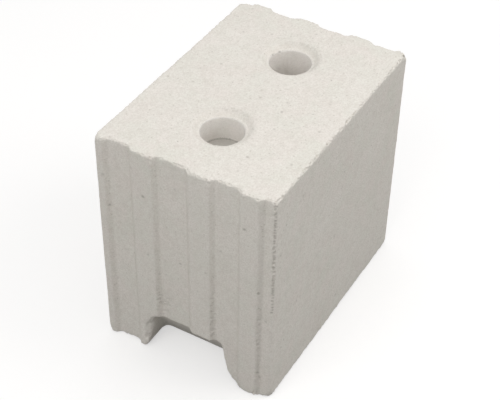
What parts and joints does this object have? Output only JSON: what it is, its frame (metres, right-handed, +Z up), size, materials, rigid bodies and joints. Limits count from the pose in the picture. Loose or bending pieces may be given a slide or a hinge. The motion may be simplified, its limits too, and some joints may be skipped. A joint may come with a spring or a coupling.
{
  "type": "calcium silicate block",
  "caption": "Pressed calcium silicate wall block with upright tongues on both ends, grip pockets at the foot and dished round holes in the top.",
  "frame": {"origin": "centre of the underside, which is the bottom centre of the bounding box", "axes": "+X along the length, from the end shown in the picture to the far end; +Y across the wall, away from the long side shown; +Z up, from the underside to the face with the holes"},
  "size_m": [0.252, 0.175, 0.238],
  "materials": {
    "calcium_silicate": "matt, fine sandy grain"
  },
  "bodies": {
    "root": {"block": "calcium_silicate"}
  },
  "joints": []
}
